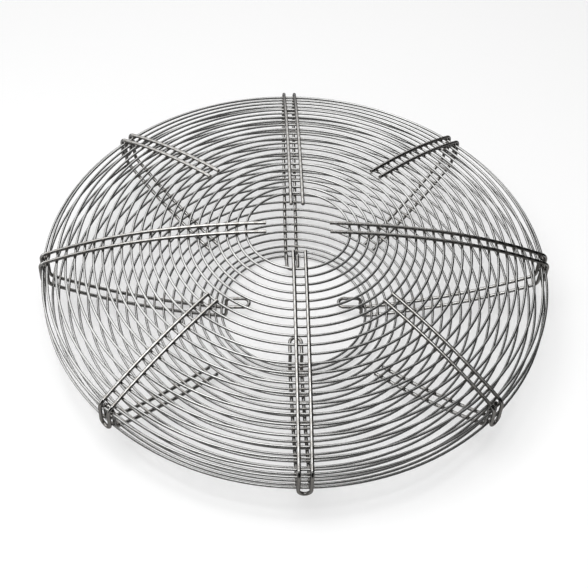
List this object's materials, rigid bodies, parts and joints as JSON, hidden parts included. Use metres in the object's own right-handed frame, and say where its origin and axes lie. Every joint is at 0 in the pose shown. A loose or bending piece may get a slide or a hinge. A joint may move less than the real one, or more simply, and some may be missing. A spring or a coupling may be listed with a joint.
{
  "type": "wire fan guard",
  "caption": "Domed wire cage that guards an axial fan, with concentric rings on hairpin spokes, hooked rim and mounting eyes.",
  "frame": {"origin": "on the fan's axis, at the lowest wires of the rear dome", "axes": "+Z along the fan's axis towards the front dome, +X and +Y along the long spokes"},
  "size_m": [0.5092, 0.5092, 0.1308],
  "materials": {
    "ring_wire": "bright drawn wire",
    "spoke_wire": "bright drawn wire"
  },
  "bodies": {
    "root": {"front_ring_1": "ring_wire", "front_ring_2": "ring_wire", "front_ring_3": "ring_wire", "front_ring_4": "ring_wire", "front_ring_5": "ring_wire", "front_ring_6": "ring_wire", "front_ring_7": "ring_wire", "front_ring_8": "ring_wire", "front_ring_9": "ring_wire", "front_ring_10": "ring_wire", "front_ring_11": "ring_wire", "front_ring_12": "ring_wire", "front_ring_13": "ring_wire", "front_ring_14": "ring_wire", "front_ring_15": "ring_wire", "front_ring_16": "ring_wire", "front_ring_17": "ring_wire", "front_ring_18": "ring_wire", "front_ring_19": "ring_wire", "front_ring_20": "ring_wire", "front_ring_21": "ring_wire", "front_ring_22": "ring_wire", "front_rim_ring": "ring_wire", "rear_ring_1": "ring_wire", "rear_ring_2": "ring_wire", "rear_ring_3": "ring_wire", "rear_ring_4": "ring_wire", "rear_ring_5": "ring_wire", "rear_ring_6": "ring_wire", "rear_ring_7": "ring_wire", "rear_ring_8": "ring_wire", "rear_ring_9": "ring_wire", "rear_ring_10": "ring_wire", "rear_ring_11": "ring_wire", "rear_ring_12": "ring_wire", "rear_ring_13": "ring_wire", "rear_ring_14": "ring_wire", "rear_ring_15": "ring_wire", "rear_ring_16": "ring_wire", "rear_ring_17": "ring_wire", "rear_ring_18": "ring_wire", "rear_ring_19": "ring_wire", "rear_ring_20": "ring_wire", "rear_rim_ring": "ring_wire", "front_long_hairpin_1": "spoke_wire", "front_long_hairpin_2": "spoke_wire", "front_long_hairpin_3": "spoke_wire", "front_long_hairpin_4": "spoke_wire", "front_short_hairpin_1": "spoke_wire", "front_short_hairpin_2": "spoke_wire", "front_short_hairpin_3": "spoke_wire", "front_short_hairpin_4": "spoke_wire", "rear_eye_hairpin_1": "spoke_wire", "rear_eye_hairpin_2": "spoke_wire", "rear_eye_hairpin_3": "spoke_wire", "rear_eye_hairpin_4": "spoke_wire", "rear_short_hairpin_1": "spoke_wire", "rear_short_hairpin_2": "spoke_wire", "rear_short_hairpin_3": "spoke_wire", "rear_short_hairpin_4": "spoke_wire"}
  },
  "joints": []
}
